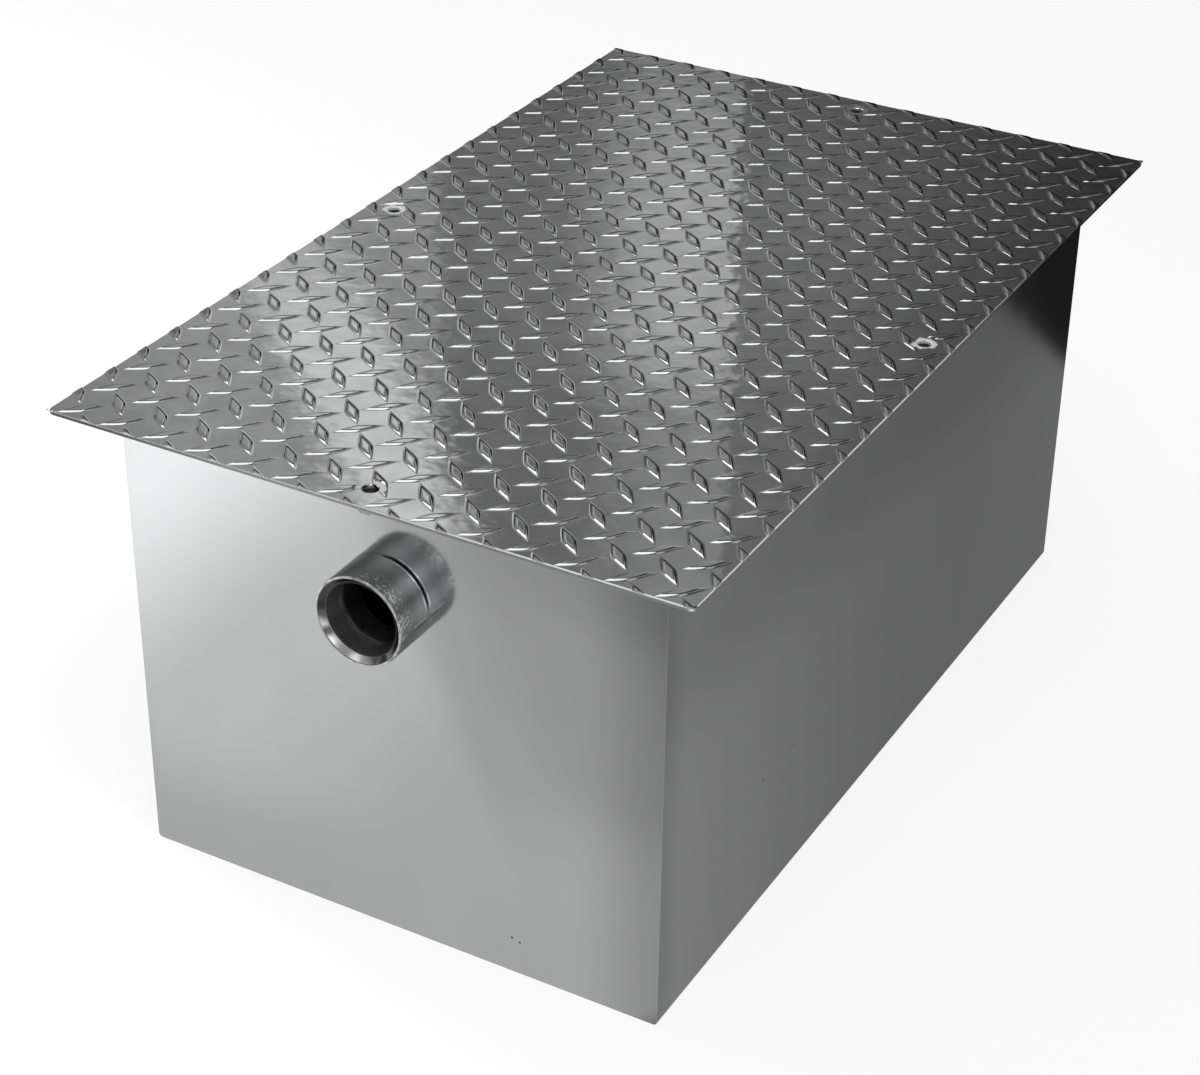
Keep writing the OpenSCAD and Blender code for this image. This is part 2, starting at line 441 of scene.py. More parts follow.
def polished_sheet():
    """Polished stainless sheet: cloudy smears, faint drips, fine level polish lines, a slight wave, specks,
    and painted shade that darkens the end walls towards the right and the side walls towards the front."""
    made, place = open_finish("polished_sheet")
    x, y, _ = place.axes()
    smear = place.noise(scale=5.0, detail=3.0)
    drips = place.stretched((16, 16, 1.6)).noise(scale=1.0, detail=2.0)
    lines = place.stretched((3, 3, 700)).noise(scale=1.0)
    wave = place.noise(scale=6.0, detail=2.0)
    specks = 0
    for speck in SPECKS:
        specks = specks + (1 - place.distance(speck).rise(SPECK_RADIUS / 2, SPECK_RADIUS))
    # Painted shade in the sheet's colour: end walls darker towards the right, side walls towards the front
    on_end = abs(y).rise(WALL_Y - 1.5 * MM, WALL_Y - 0.5 * MM)
    on_side = abs(x).rise(WALL_X - 0.6 * MM, WALL_X - 0.1 * MM)
    painted_end_shade = on_end * x.rise(END_SHADE_START, END_SHADE_FULL) * END_SHADE * (1 - on_side)
    painted_side_shade = on_side * (1 - y.rise(-WALL_Y, -WALL_Y + SIDE_SHADE_WIDTH)) * SIDE_SHADE
    painted_shade = painted_end_shade.most(painted_side_shade)
    tone = 0.25 + smear * 0.35 + drips * 0.25 + lines * 0.15
    colour = tone.mixed(SHEET_DULL, SHEET_BRIGHT)
    close_finish(place, {
        "Base Color": (painted_shade + specks).mixed(colour, SHEET_SPECK_AND_PAINTED_SHADE),
        "Metallic": 1.0,
        "Roughness": 0.08 + smear * 0.04 + lines * 0.02,
        "Normal": (wave + lines * 0.05).bump(SHEET_WAVE),
    })
    return made


def lug_nearness(x, y):
    """How near the closest lug is: 0 at its middle, 1 on its foot, more outside.

    Each of the two lattices is folded into one cell, and a lug's outline is measured along its axes there.
    """
    nearest = None
    for half, sign in ((0.0, -1), (0.5, 1)):
        column = (x - LUG_SHIFT[0]) / LUG_PITCH[0] - half
        row = (y - LUG_SHIFT[1]) / LUG_PITCH[1] - half
        right = column.repeat() * LUG_PITCH[0]
        back = row.repeat() * LUG_PITCH[1]
        along = abs(right + back * sign) * (HALF_ROOT / LUG_HALF_LENGTH)
        over = abs(back - right * sign) * (HALF_ROOT / LUG_HALF_WIDTH)
        reach = (along ** LUG_FULLNESS + over ** LUG_FULLNESS) ** (1 / LUG_FULLNESS)
        nearest = reach if nearest is None else nearest.least(reach)
    return nearest


def scuffed_spots(place, x, y):
    """Patches with a ragged edge round the screw holes, faint at the lid's short edges."""
    long_edges = (abs(x) - SCREW_X) ** 2.0 + y * y
    short_edges = x * x + (abs(y) - SCREW_Y) ** 2.0
    rag = place.noise(scale=130.0, detail=2.0)
    from_hole = long_edges.least(short_edges) ** 0.5 + (rag - 0.5) * SCUFF_RAG
    scuff = 1 - from_hole.rise(SCUFF_FULL, SCUFF_RADIUS)
    return scuff * (SCUFF_LEAST + (1 - SCUFF_LEAST) * abs(x).rise(100 * MM, 150 * MM))


def tread_steel():
    """Rolled tread plate: a mirror ground that is wavy and drawn up round each lug, lighter crests, a bright
    cut edge whose upright face and far right end are painted with light and shade, and scuffed matt spots
    round the screw holes."""
    made, place = open_finish("tread_steel")
    x, y, z = place.axes()
    scuff = scuffed_spots(place, x, y)
    past_outline = (abs(x) - LID_HALF_WIDTH).most(abs(y) - LID_HALF_LENGTH)
    bevel = past_outline.rise(-0.95 * MM, -0.75 * MM)
    shear = bevel * (1 - z.rise(LID_BOTTOM + 2.2 * MM, LID_BOTTOM + 2.4 * MM))
    crest = z.rise(LID_TOP + 0.6 * LUG_HEIGHT, LID_TOP + LUG_HEIGHT)
    drawn = 1 - lug_nearness(x, y).rise(DRAWN_FULL, DRAWN_START)
    wave = place.noise(scale=34.0, detail=2.0, roughness=0.45)
    grain = place.noise(scale=900.0)
    smear = place.noise(scale=9.0, detail=3.0)
    stain = place.noise(scale=42.0, detail=2.0).rise(0.3, 0.7)
    ripple = place.noise(scale=95.0, detail=1.0)
    tone = 0.1 + smear * 0.3 + stain * 0.4 + grain * 0.1 + crest * 0.1 + bevel * 0.6 + scuff * 1.4
    colour = tone.mixed(PLATE_DULL, PLATE_BRIGHT)
    height = wave * 0.15 + ripple * 0.03 + drawn * 0.05 + grain * 0.003
    # Painted light and shade on the cut edge's upright face: dark at the left, light at the right
    sheared = x.rise(-230 * MM, 60 * MM).mixed(EDGE_PAINTED_SHADE, EDGE_PAINTED_LIGHT)
    right_edge = x.rise(LID_HALF_WIDTH - 2 * MM, LID_HALF_WIDTH - 1 * MM)
    # Painted shade along the far end of the right edge
    far_end_painted_shade = bevel * right_edge * y.rise(-80 * MM, 260 * MM) * EDGE_FAR_SHARE
    close_finish(place, {
        "Base Color": far_end_painted_shade.mixed(shear.mixed(colour, sheared), EDGE_FAR_PAINTED_SHADE),
        "Metallic": 1 - scuff * 0.6,
        "Roughness": 0.024 + smear * 0.014 + grain * 0.006 + bevel * 0.25 + scuff * 0.35,
        "Normal": height.bump(PLATE_RELIEF),
    })
    return made


def pipe_steel():
    """Dark scaled pipe steel: a mottled skin, a bright worn rim, bright flecks on the upper right side, a
    scratch left by tools, a machined cone in the mouth with a painted highlight on its lower side, a painted
    glint at the wall beside the slot, the slot painted black as shade, and a dark bore."""
    made, place = open_finish("pipe_steel")
    x, y, z = place.axes()
    up = z - PIPE_Z
    radius = (x * x + up * up) ** 0.5
    reach = abs(y) - WALL_Y
    mottle = place.noise(scale=70.0, detail=4.0, roughness=0.6)
    blotch = place.noise(scale=28.0)
    fleck = place.noise(scale=420.0, detail=3.0, roughness=0.65)
    wear = place.noise(scale=190.0).rise(0.32, 0.58)

    # Sides of the pipe
    upper_side = (x * 0.8 + up * 0.6).rise(10 * MM, 33 * MM)
    seat_side = (x * 0.77 + up * 0.64).rise(28 * MM, 34 * MM)
    lower_left = (x * -0.5 - up * 0.87).rise(20 * MM, 27 * MM)
    lower_side = (x * 0.1 - up).rise(12 * MM, 28 * MM)
    right_side = x.rise(10 * MM, 25 * MM)

    # Places on the profile
    skin = radius.rise(35 * MM, 36 * MM)
    rim = radius.rise(34.5 * MM, 34.9 * MM) * reach.rise(34.9 * MM, 35.6 * MM) * (0.35 + 0.65 * wear)
    # Painted glint on the seat at the wall, on its upper right side
    seat = reach.between(1.5 * MM, 3.6 * MM, 0.5 * MM) * seat_side * (0.5 + 0.5 * wear)
    # Slot between the coupling and the wall, painted black as shade
    slot = radius.between(31 * MM, 36.2 * MM, 1.2 * MM) * reach.between(-1 * MM, 2 * MM, 0.4 * MM)
    cone = (1 - radius.rise(34.2 * MM, 34.6 * MM)) * reach.rise(31.8 * MM, 32.4 * MM)
    heated = 1 - reach.rise(2 * MM, 24 * MM)
    bore = 1 - radius.rise(29.6 * MM, 30.4 * MM)

    # Marks
    # Bright flecks near the mouth, only on the upper right side
    upper_flecks = fleck.rise(0.48, 0.64) * reach.rise(15 * MM, 35 * MM) * upper_side * skin
    scratch = (up + 2.2 * MM).between(-0.5 * MM, 0.5 * MM, 0.25 * MM)
    scratch = scratch * reach.between(3 * MM, 21 * MM, 2 * MM) * right_side * skin
    gouge = (up + 5 * MM).between(-2 * MM, 2 * MM, 1.2 * MM)
    gouge = gouge * reach.between(1 * MM, 15 * MM, 4 * MM) * right_side
    turned = 0.5 + 0.5 * radius.math("SINE", radius * CONE_MARKS)

    # Bright marks: the worn rim, flecks and scratch, and the painted glint on the seat
    bright = rim.most(seat).most(upper_flecks * 0.8).most(scratch * 0.8)
    # Painted shade: the slot is made black in the tone
    tone = 0.24 + mottle * 0.45 + blotch * 0.3 + heated * 0.42 - bore * 0.7 - gouge * 0.5 - slot
    # Painted highlight on the cone: grey on its lower side with the tool marks, bright at the lower left
    polish = lower_side * (0.08 + 0.2 * turned) + lower_left * 0.7
    machined = cone.mixed(tone.mixed(SKIN_DARK, SKIN_LIGHT), polish.mixed(CONE_DARK, CONE_PAINTED_HIGHLIGHT))
    close_finish(place, {
        "Base Color": bright.mixed(machined, WORN_AND_GLINT_BRIGHT),
        "Metallic": 0.9,
        "Roughness": 0.38 + mottle * 0.14 - bright * 0.12 - rim * 0.13 - cone * 0.3,
        "Normal": ((mottle * 0.6 + fleck * 0.4) * skin).bump(SKIN_RELIEF),
    })
    return made


def seal_rubber():
    """Black rubber strip with a dull, dusty skin."""
    made, place = open_finish("seal_rubber")
    dust = place.noise(scale=60.0, detail=4.0, roughness=0.6)
    grain = place.noise(scale=1500.0)
    close_finish(place, {
        "Base Color": dust.mixed(RUBBER_BLACK, RUBBER_DUSTY),
        "Roughness": 0.62 + dust * 0.2,
        "Normal": grain.bump(RUBBER_RELIEF),
    })
    return made


def plated_nut():
    """Bright plated steel with a fine turned grain and duller patches."""
    made, place = open_finish("plated_nut")
    patch = place.noise(scale=250.0, detail=3.0)
    rings = place.stretched((30, 30, 3000)).noise(scale=1.0, detail=1.0)
    close_finish(place, {
        "Base Color": patch.mixed(NUT_DULL, NUT_BRIGHT),
        "Metallic": 1.0,
        "Roughness": 0.26 + patch * 0.14,
        "Normal": rings.bump(FINE_RELIEF),
    })
    return made


def mill_sheet():
    """Mill finish sheet: long rolling lines and water stains near its foot."""
    made, place = open_finish("mill_sheet")
    height = place.axes()[2]
    lines = place.stretched((900, 900, 6)).noise(scale=1.0)
    stain = place.noise(scale=14.0, detail=4.0, roughness=0.6) * (1 - height.rise(STAIN_FULL, STAIN_END))
    tone = 0.6 + lines * 0.4 - stain * 0.5
    close_finish(place, {
        "Base Color": tone.mixed(MILL_STAINED, MILL_BRIGHT),
        "Metallic": 1.0,
        "Roughness": 0.32 + lines * 0.08 + stain * 0.2,
        "Normal": lines.bump(FINE_RELIEF),
    })
    return made


# Finish of each material slot whose CAD nodes stay
CAD_FINISHES = {
    "tank_sheet": polished_sheet,
    "gasket_rubber": seal_rubber,
    "nut_steel": plated_nut,
    "baffle_sheet": mill_sheet,
}


# Surfaces

def quads(rows, columns, wrap_rows=False):
    """Four corners of each cell between neighbouring rows and columns, where each row closes on itself."""
    row, column = np.meshgrid(
        np.arange(rows if wrap_rows else rows - 1), np.arange(columns), indexing="ij"
    )
    next_row = (row + 1) % rows
    next_column = (column + 1) % columns
    corners = [
        row * columns + column,
        row * columns + next_column,
        next_row * columns + next_column,
        next_row * columns + column,
    ]
    return np.stack(corners, -1).reshape(-1, 4)


def circle(steps):
    """Angles of one full turn in even steps."""
    return np.arange(steps) * FULL_TURN / steps


def lid_outline(inset):
    """Path round the lid: at each corner a quarter circle about the corner's centre.

    inset is a column of distances inside the edge, and each gives its own row of the path.
    """
    quarter = np.repeat(np.arange(4), CORNER_STEPS)
    angle = (quarter + np.tile(np.linspace(0, 1, CORNER_STEPS), 4)) * QUARTER_TURN
    middle = (quarter + 0.5) * QUARTER_TURN
    radius = LID_CORNER - inset
    x = np.sign(np.cos(middle)) * (LID_HALF_WIDTH - LID_CORNER) + radius * np.cos(angle)
    y = np.sign(np.sin(middle)) * (LID_HALF_LENGTH - LID_CORNER) + radius * np.sin(angle)
    return x, y


def lid_plate():
    """The lid's plate: its edge profile carried round a rounded rectangle, the holes' profile carried round
    four circles, and level faces between the loops at the top and the bottom."""
    angle = circle(HOLE_STEPS)
    rings = [(*lid_outline(LID_EDGE[:, :1]), LID_EDGE)]
    for place in SCREW_PLACES:
        x = place[0] + HOLE_WALL[:, :1] * np.cos(angle)
        y = place[1] + HOLE_WALL[:, :1] * np.sin(angle)
        rings.append((x, y, HOLE_WALL))
    points, faces, firsts, lasts = [], [], [], []
    start = 0
    for x, y, profile in rings:
        rows, columns = x.shape
        z = np.broadcast_to(LID_BOTTOM + profile[:, 1:], x.shape)
        points.append(np.stack([x, y, z], -1).reshape(-1, 3))
        faces += (quads(rows, columns) + start).tolist()
        firsts.append(list(range(start, start + columns)))
        start += rows * columns
        lasts.append(list(range(start - columns, start)))
    points = np.concatenate(points)
    tops = lasts[:1] + firsts[1:]
    bottoms = firsts[:1] + lasts[1:]
    for loops in (tops, bottoms):
        order = sum(loops, [])
        found = geometry.tessellate_polygon([points[loop].tolist() for loop in loops])
        faces += [[order[k] for k in face] for face in found]
    return points, faces


def lug_reach(along, over):
    """Distance from a lug's middle as a share of its outline, a rhombus with full sides."""
    length = np.abs(along / LUG_HALF_LENGTH) ** LUG_FULLNESS
    width = np.abs(over / LUG_HALF_WIDTH) ** LUG_FULLNESS
    return (length + width) ** (1 / LUG_FULLNESS)


def lug_rings(reaches, steps):
    """Rings of points round a lug: the outline, a superellipse, scaled to each reach."""
    angle = circle(steps)
    power = 2 / LUG_FULLNESS
    along = LUG_HALF_LENGTH * np.sign(np.cos(angle)) * np.abs(np.cos(angle)) ** power
    over = LUG_HALF_WIDTH * np.sign(np.sin(angle)) * np.abs(np.sin(angle)) ** power
    return reaches[:, None] * along, reaches[:, None] * over


def hole_gap(x, y):
    """Distance to the middle of the nearest screw hole."""
    return np.min([np.hypot(x - place[0], y - place[1]) for place in SCREW_PLACES], axis=0)


def lug_field(middles, turns, fills, reaches, steps):
    """All lugs of one fineness: rings of points turned, moved to their places and raised by the section's
    height at their reach times their fill. The height shrinks at the sheared edges and ends at the spots
    round the holes."""
    along, over = lug_rings(reaches, steps)
    cos = np.cos(turns)[:, None, None]
    sin = np.sin(turns)[:, None, None]
    x = middles[:, 0, None, None] + along * cos - over * sin
    y = middles[:, 1, None, None] + along * sin + over * cos
    z = np.interp((1 - lug_reach(along, over)) * LUG_DEPTH, LUG_STOPS, LUG_HEIGHTS)
    edge_gap = np.minimum(LID_HALF_WIDTH + x, LID_HALF_LENGTH - y)
    pressed = PRESS_LEAST + (1 - PRESS_LEAST) * np.clip(edge_gap / PRESS_WIDTH, 0, 1)
    z = np.where(z > 0, z * pressed * fills[:, None, None], z)
    z = np.minimum(z, np.maximum((hole_gap(x, y) - SPOT_RADIUS) * SPOT_SLOPE, -LUG_ROOT))
    points = np.stack([x, y, LID_TOP + z], -1).reshape(-1, 3)
    size = len(reaches) * steps
    starts = np.arange(len(middles)) * size
    sides = (quads(len(reaches), steps)[None] + starts[:, None, None]).reshape(-1, 4).tolist()
    crests = (np.arange(size - steps, size) + starts[:, None]).tolist()
    feet = (np.arange(steps)[::-1] + starts[:, None]).tolist()
    return points, sides + crests + feet


def tread_lattice():
    """Middles and turns of the lugs: two lattices half a pitch apart, one turned left and one right."""
    half_size = np.array([LID_HALF_WIDTH, LID_HALF_LENGTH])
    counts = np.ceil(half_size / LUG_PITCH).astype(int) + 1
    column, row, turn = np.meshgrid(
        np.arange(-counts[0], counts[0] + 1), np.arange(-counts[1], counts[1] + 1), np.arange(2)
    )
    cells = np.stack([column + turn / 2, row + turn / 2], -1).reshape(-1, 2)
    middles = cells * LUG_PITCH + LUG_SHIFT
    turns = (2 * turn.ravel() - 1) * QUARTER_TURN / 2
    inside = np.all(np.abs(middles) < half_size + LUG_HALF_LENGTH * HALF_ROOT, axis=1)
    return middles[inside], turns[inside]


def cut_to_lid(mesh):
    """Cuts away what reaches past the lid's four straight edges and closes the cuts."""
    half_size = (LID_HALF_WIDTH, LID_HALF_LENGTH, 0.0)
    for axis in range(2):
        for sign in (-1, 1):
            normal = [0.0, 0.0, 0.0]
            normal[axis] = sign
            place = [sign * size for size in half_size]
            everything = list(mesh.verts) + list(mesh.edges) + list(mesh.faces)
            bmesh.ops.bisect_plane(
                mesh, geom=everything, dist=CUT_PRECISION, plane_co=place, plane_no=normal, clear_outer=True
            )
            open_edges = [edge for edge in mesh.edges if edge.is_boundary]
            bmesh.ops.holes_fill(mesh, edges=open_edges, sides=0)


def pipe_coupling(sign):
    """A coupling: a closed profile of reach from the wall and radius, turned about the pipe's axis.

    A helical groove is cut into the bore: its depth is a rounded triangle wave of reach over pitch less the
    angle over a full turn. The slot at the wall has the depth of a raised cosine round its middle, and small
    knocks in the mouth's edge are a sum of three sines. sign is the side of the tank, -1 for the inlet.
    """
    shares = np.linspace(0, 1, THREAD_TURNS * THREAD_STEPS)
    thread = THREAD_START - shares * (THREAD_START - THREAD_END)
    bore = np.stack([thread, np.full(len(thread), BORE_RADIUS)], -1)
    profile = np.concatenate([PIPE_OUTSIDE, bore, PIPE_BACK])
    angle = circle(PIPE_STEPS)
    reach = profile[:, :1]
    phase = (reach / THREAD_PITCH - angle / FULL_TURN) % 1
    wave = np.clip(THREAD_PEAK - np.abs(phase - 0.5) * 2 * THREAD_PEAK, 0, 1)
    depth = np.zeros(len(profile))
    fade = np.clip((thread - THREAD_END) / THREAD_FADE, 0, 1)
    depth[len(PIPE_OUTSIDE):-len(PIPE_BACK)] = fade * THREAD_DEPTH
    slot_fall = (np.cos(angle - SLOT_MIDDLE) - math.cos(SLOT_HALF)) / (1 - math.cos(SLOT_HALF))
    slot = np.interp(reach, SLOT_STOPS, SLOT_SHARES) * np.sqrt(np.clip(slot_fall, 0, 1)) * SLOT_DEPTH
    slot = slot * (profile[:, 1:] > BORE_RADIUS + THREAD_DEPTH)
    knocks = sum(share * np.sin(waves * angle + start) for waves, start, share in KNOCK_WAVES)
    worn = np.clip((reach - KNOCK_START) / KNOCK_FADE, 0, 1) * KNOCK_DEPTH
    radius = profile[:, 1:] + wave * depth[:, None] - slot - worn * np.maximum(knocks, 0)
    x = radius * np.cos(angle) * -sign
    y = np.broadcast_to(sign * (WALL_Y + reach), x.shape)
    z = PIPE_Z + radius * np.sin(angle)
    points = np.stack([x, y, z], -1).reshape(-1, 3)
    return points, quads(len(profile), PIPE_STEPS, wrap_rows=True).tolist()


# Pieces

def mesh_of(name, points, faces):
    """A mesh from an array of points and lists of corners."""
    mesh = bpy.data.meshes.new(name)
    mesh.from_pydata(points.tolist(), [], faces)
    mesh.update()
    return mesh


def put_piece(name, mesh, finish, node):
    """Puts a mesh in the scene as a piece on the body, in place of its CAD node."""
    piece = bpy.data.objects.new(name, mesh)
    bpy.context.scene.collection.objects.link(piece)
    mesh.materials.append(finish)
    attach(piece, "root")
    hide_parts(node)


def build_lid(finish):
    """The plate and its lugs as one piece. Lugs near a screw hole are finer, so that the spot cuts them
    well."""
    middles, turns = tread_lattice()
    near = hole_gap(middles[:, 0], middles[:, 1]) < SPOT_RADIUS + LUG_HALF_LENGTH
    far = ~near
    fills = np.random.default_rng(LUG_SEED).uniform(LUG_LEAST, 1, len(middles))
    coarse_lugs = lug_field(middles[far], turns[far], fills[far], LUG_REACHES, LUG_STEPS)
    fine_lugs = lug_field(middles[near], turns[near], fills[near], FINE_REACHES, FINE_STEPS)
    coarse = mesh_of("lugs", *coarse_lugs)
    fine = mesh_of("fine_lugs", *fine_lugs)
    plate = mesh_of("plate", *lid_plate())
    whole = bmesh.new()
    whole.from_mesh(coarse)
    whole.from_mesh(fine)
    cut_to_lid(whole)
    whole.from_mesh(plate)
    bmesh.ops.recalc_face_normals(whole, faces=whole.faces)
    mesh = bpy.data.meshes.new("tread_lid")
    whole.to_mesh(mesh)
    whole.free()
    for scratch in (coarse, fine, plate):
        bpy.data.meshes.remove(scratch)
    mesh.set_sharp_from_angle(angle=LID_CREASE)
    normals = np.zeros(len(mesh.polygons) * 3)
    mesh.polygons.foreach_get("normal", normals)
    mesh.polygons.foreach_set("use_smooth", np.abs(normals[2::3]) < LEVEL_NORMAL)
    put_piece("tread_lid", mesh, finish, "lid")


def build_coupling(node, sign, finish):
    """One coupling in place of its CAD node."""
    name = node + "_turned"
    mesh = mesh_of(name, *pipe_coupling(sign))
    mesh.shade_smooth()
    mesh.set_sharp_from_angle(angle=PIPE_CREASE)
    put_piece(name, mesh, finish, node)


def dress_nodes():
    """Gives each CAD node that stays the finish of its material slot."""
    made = {slot: build() for slot, build in CAD_FINISHES.items()}
    for part in frame["record"]["subparts"]:
        if part["material_slot"] in made:
            node = frame["nodes"][part["node"]]
            node.data.materials.clear()
            node.data.materials.append(made[part["material_slot"]])


# Studio

def studio_camera():
    """The camera: its axes come from its azimuth, elevation and roll."""
    cos, sin = math.cos, math.sin
    azimuth, elevation, roll = CAMERA_AZIMUTH, CAMERA_ELEVATION, CAMERA_ROLL
    back = np.array([sin(azimuth) * cos(elevation), -cos(azimuth) * cos(elevation), sin(elevation)])
    right = np.array([cos(azimuth), sin(azimuth), 0.0])
    up = np.cross(back, right)
    matrix = np.eye(4)
    matrix[:3, 0] = cos(roll) * right + sin(roll) * up
    matrix[:3, 1] = cos(roll) * up - sin(roll) * right
    matrix[:3, 2] = back
    matrix[:3, 3] = CAMERA_PLACE
    data = bpy.data.cameras.new("camera")
    data.sensor_fit = "HORIZONTAL"
    data.sensor_width = SENSOR_WIDTH
    data.lens = FOCAL_PIXELS / IMAGE_WIDTH * SENSOR_WIDTH
    camera = bpy.data.objects.new("camera", data)
    camera.matrix_world = Matrix(matrix.tolist())
    bpy.context.scene.collection.objects.link(camera)
    bpy.context.scene.camera = camera


def ray_kinds(start):
    """Whether a ray comes from the camera, and whether from a glossy surface."""
    camera = start.node("ShaderNodeLightPath", {}, {}, "Is Camera Ray")
    glossy = start.node("ShaderNodeLightPath", {}, {}, "Is Glossy Ray")
    return camera, glossy


def glow(direction, azimuth, elevation, radius, soft, level):
    """A round soft box: full inside its radius about a direction, with a soft edge."""
    turn, lift = azimuth * DEGREE, elevation * DEGREE
    middle = (-math.sin(turn) * math.cos(lift), math.cos(turn) * math.cos(lift), math.sin(lift))
    edge = math.cos(radius * DEGREE)
    full = math.cos((radius - soft) * DEGREE)
    return direction.dot(middle).rise(edge, full) * level


def room_walls(azimuth, elevation):
    """The room's walls, which the level lid mirrors. The far wall is dark at its right and lighter to the
    left, with an upright strip that has one crisp side, and a slanting strip. The right wall and the near
    wall are grey. All fade upwards and downwards."""
    near = (-azimuth).past(100, 175)
    room = ROOM_DARK + azimuth.past(17, 26) * ROOM_GREY + near * ROOM_GREY
    room = room * (0.34 + 0.66 * elevation.past(18.5, 25))
    room = room * (1 - 0.12 * elevation.past(26.5, 29))
    left = azimuth.past(32.5, 33.1) * ROOM_LEFT + azimuth.past(35, 37) * ROOM_LEFT_STEP
    left = left - azimuth.past(38.5, 42) * ROOM_LEFT_FALL + near * ROOM_NEAR
    right = (-azimuth).past(45, 75) * (1 - near) * ROOM_RIGHT
    upright = azimuth.past(25.8, 26.1) * (1 - azimuth.past(27.4, 30.2))
    upright = upright * (0.09 + 0.23 * elevation.past(19, 25))
    upright = upright * (1 - 0.62 * elevation.past(26.5, 29))
    slant = azimuth + (elevation - SLANT_MIDDLE) * SLANT_LEAN
    slanting = slant.between(33.4 * DEGREE, 37.2 * DEGREE, 1.3 * DEGREE)
    slanting = slanting * (0.12 + 0.36 * elevation.past(24, 28))
    fade = 0.3 + 0.7 * elevation.past(8, 19)
    fade = fade * (1 - 0.6 * elevation.past(34, 42))
    return (room + left + right + upright + slanting) * fade


def leaning_window(azimuth, elevation):
    """A window between two azimuths and two elevations, with its right side leaning."""
    leaning = azimuth + (elevation - WINDOW_MIDDLE) * WINDOW_LEAN
    window = leaning.rise(WINDOW_RIGHT, WINDOW_RIGHT + WINDOW_SOFT)
    window = window * azimuth.between(WINDOW_END, WINDOW_LEFT, WINDOW_SOFT)
    return window * elevation.between(WINDOW_LOW, WINDOW_HIGH, WINDOW_SOFT) * WINDOW_LEVEL


def studio_world():
    """A dim room with soft boxes and strips for the steel to mirror, white to the camera."""
    world = bpy.data.worlds.new("studio")
    world.use_nodes = True
    world.node_tree.nodes.clear()
    direction = Signal(world.node_tree).node("ShaderNodeTexCoord", {}, {}, "Generated")
    x, y, z = direction.axes()
    azimuth = direction.math("ARCTAN2", -x, y)
    elevation = direction.math("ARCSINE", z)
    studio = room_walls(azimuth, elevation)
    height = elevation.between(STRIP_LOW, STRIP_HIGH, STRIP_SOFT)
    for low, high, soft, level in STRIPS:
        studio = studio + azimuth.between(low * DEGREE, high * DEGREE, soft * DEGREE) * height * level
    studio = studio.most(leaning_window(azimuth, elevation))
    for box in SOFT_BOXES:
        studio = studio.most(glow(direction, *box))
    camera, glossy = ray_kinds(direction)
    level = camera.most(glossy * studio + (1 - glossy) * ROOM_LIGHT)
    shader = direction.node("ShaderNodeBackground", {}, {"Color": level, "Strength": 1.0})
    direction.node("ShaderNodeOutputWorld", {}, {"Surface": shader})
    bpy.context.scene.world = world


def front_pool(x, gap):
    """Floor at the front, in painted light and shade: a pool of light on the left that ends at a slanting
    edge, dimmer to the right of it, and lighter beyond what the front wall shows.

    gap is the distance from the front wall.
    """
    left = POOL_LEFT + gap.rise(30 * MM, 120 * MM) * 0.015
    left = left + (-x).rise(20 * MM, 300 * MM) * gap.rise(0.0, 150 * MM) * 0.105
    left = left + (-x).rise(330 * MM, 620 * MM) * 0.38
    past_edge = x * POOL_LEAN + gap - POOL_EDGE
    fall = (gap - 420 * MM).most(0.0) * (x + 300 * MM).most(0.0) * 4
    right = POOL_RIGHT + 0.03 * (1 - gap.rise(100 * MM, 220 * MM)) - fall
    right = right * (1 - past_edge.rise(50 * MM, 110 * MM) * gap.rise(170 * MM, 240 * MM) * 0.12)
    right = right.most(0.08)
    right = right * (1 - past_edge.rise(200 * MM, 340 * MM) * 0.22)
    right = right * (1 - past_edge.rise(350 * MM, 700 * MM) * 0.6)
    beyond = gap.rise(550 * MM, 570 * MM) * x.rise(-250 * MM, -100 * MM) * POOL_BEYOND
    return left + (right - left) * past_edge.rise(-20 * MM, 18 * MM) + beyond


def right_floor(x, y):
    """Floor at the right in painted light and shade: a dim fan that is lighter to both ends, with a dark
    corner at the back.
    """
    aside = x - WALL_X
    fan = (y - aside * 2.5) / (1 + aside.most(0.0) * 1.43)
    side = SIDE_LEVEL - fan * 0.09 + fan * fan * 0.22
    side = side.most(SIDE_LEAST).least(SIDE_MOST) * (1 - 0.19 * aside.rise(130 * MM, 210 * MM))
    corner = (y - 772 * MM - (x - 364 * MM) * 0.92).rise(-8 * MM, 26 * MM)
    return side * (1 - corner) + corner * CORNER_LEVEL


def floor_level(place):
    """How bright the floor is in the polished walls: the pool at the front, dim at the right, even at the
    left and the back, and light past the front right corner."""
    x, y, _ = place.axes()
    front = front_pool(x, -WALL_Y - y)
    left = (LEFT_LEVEL - (y + WALL_Y) * 0.1).most(0.2).least(0.7)
    back = BACK_LEVEL - x * 0.35
    on_right = x.rise(WALL_X - SIDE_START, WALL_X - SIDE_FULL) * (x + y).rise(-190 * MM, -150 * MM)
    on_left = (-x).rise(WALL_X - SIDE_START, WALL_X - SIDE_FULL) * (y - x).rise(-190 * MM, -150 * MM)
    on_back = y.rise(WALL_Y - SIDE_START, WALL_Y - SIDE_FULL)
    on_corner = x.rise(260 * MM, 360 * MM) * (-y).rise(420 * MM, 500 * MM)
    level = front + (back - front) * on_back
    level = level + (left - level) * on_left
    level = level + (right_floor(x, y) - level) * on_right
    return level + (FRONT_CORNER_LEVEL - level) * on_corner


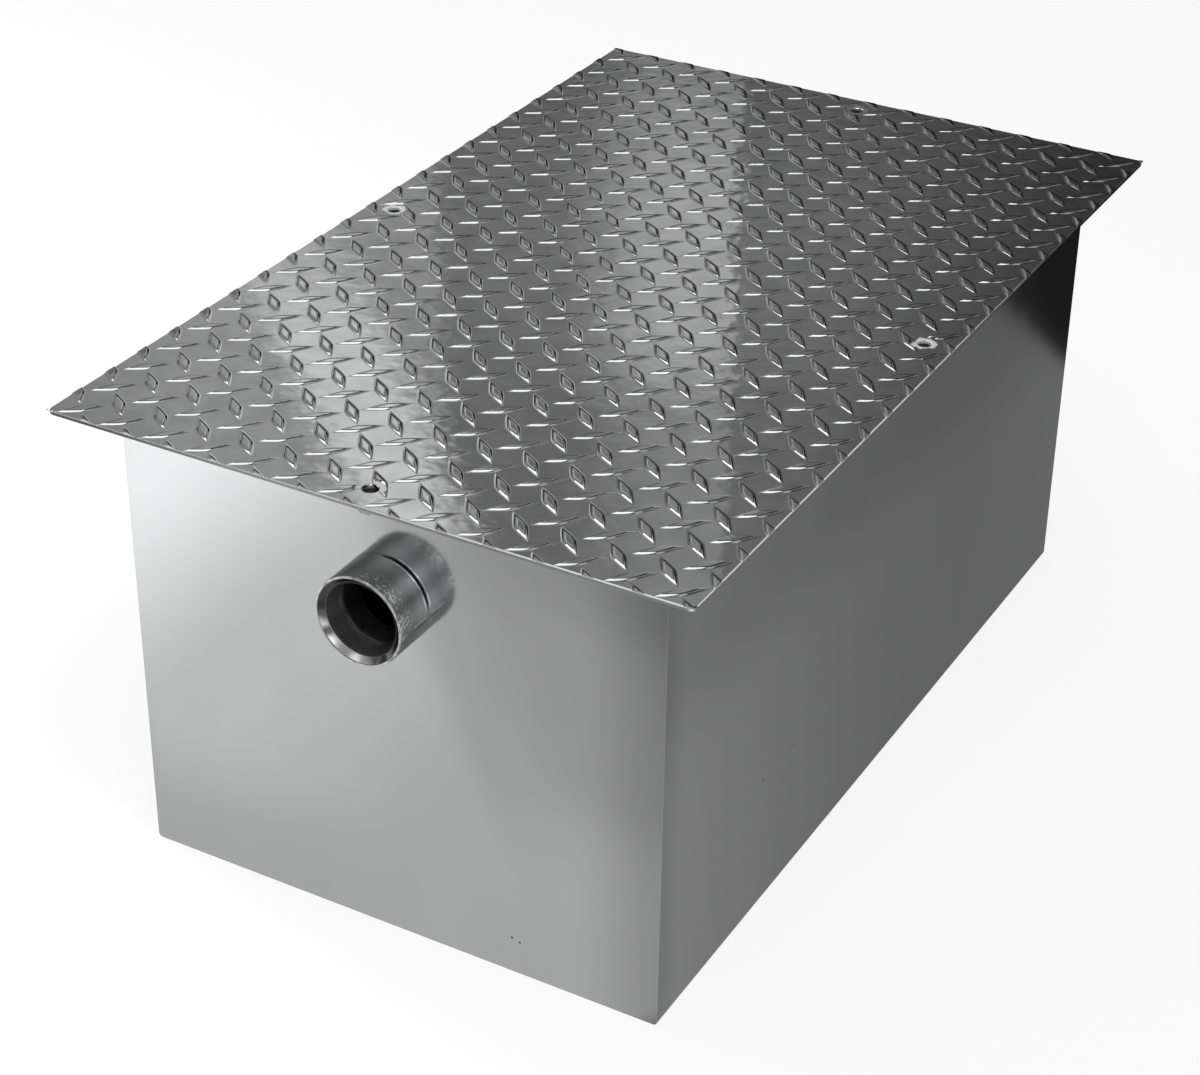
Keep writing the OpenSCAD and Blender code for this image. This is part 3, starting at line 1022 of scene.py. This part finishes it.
def studio_floor():
    """A wide pale floor. The camera sees it near white with the shadow on it; glossy rays see the painted
    light and shade of floor_level glowing from it.
    """
    corners = np.array([(-1, -1, 0), (1, -1, 0), (1, 1, 0), (-1, 1, 0)]) * FLOOR_HALF
    corners[:, 2] = -FLOOR_DROP
    floor = bpy.data.objects.new("floor", mesh_of("floor", corners, [[0, 1, 2, 3]]))
    made, place = open_finish("pale_floor")
    camera, glossy = ray_kinds(place)
    paper = place.node("ShaderNodeBsdfDiffuse", {}, {"Color": FLOOR_COLOUR})
    white = place.node("ShaderNodeEmission", {}, {"Strength": 1.0})
    seen = place.node("ShaderNodeMixShader", {}, {0: FLOOR_GLOW, 1: paper, 2: white})
    # Painted light and shade that the floor gives off, seen only by glossy rays
    pool = place.node("ShaderNodeEmission", {}, {"Color": floor_level(place) / WALL_SHARE, "Strength": 1.0})
    mirrored = place.node("ShaderNodeMixShader", {}, {0: glossy, 1: paper, 2: pool})
    surface = place.node("ShaderNodeMixShader", {}, {0: camera, 1: mirrored, 2: seen})
    place.node("ShaderNodeOutputMaterial", {}, {"Surface": surface})
    floor.data.materials.append(made)
    bpy.context.scene.collection.objects.link(floor)


def studio_lamp(name, direction, size, power):
    """A square soft lamp in a direction from the middle of the lid, facing it, not seen in the steel."""
    data = bpy.data.lights.new(name, "AREA")
    data.size = size
    data.energy = power
    lamp = bpy.data.objects.new(name, data)
    back = np.array(direction) / np.linalg.norm(direction)
    right = np.cross((0, 0, 1), back)
    right /= np.linalg.norm(right)
    matrix = np.eye(4)
    matrix[:3, 0] = right
    matrix[:3, 1] = np.cross(back, right)
    matrix[:3, 2] = back
    matrix[:3, 3] = np.array([0, 0, LID_TOP]) + back * LAMP_DISTANCE
    lamp.matrix_world = Matrix(matrix.tolist())
    lamp.visible_camera = False
    lamp.visible_glossy = False
    bpy.context.scene.collection.objects.link(lamp)


studio_camera()
studio_world()
studio_floor()
studio_lamp("left_lamp", direction=(-0.895, -0.076, 0.438), size=0.9, power=36)
studio_lamp("top_lamp", direction=(0.276, -0.438, 0.857), size=1.3, power=40)
dress_nodes()
build_lid(tread_steel())
pipe_finish = pipe_steel()
build_coupling("inlet_coupling", -1, pipe_finish)
build_coupling("outlet_coupling", 1, pipe_finish)

bpy.context.scene.view_settings.view_transform = "Standard"
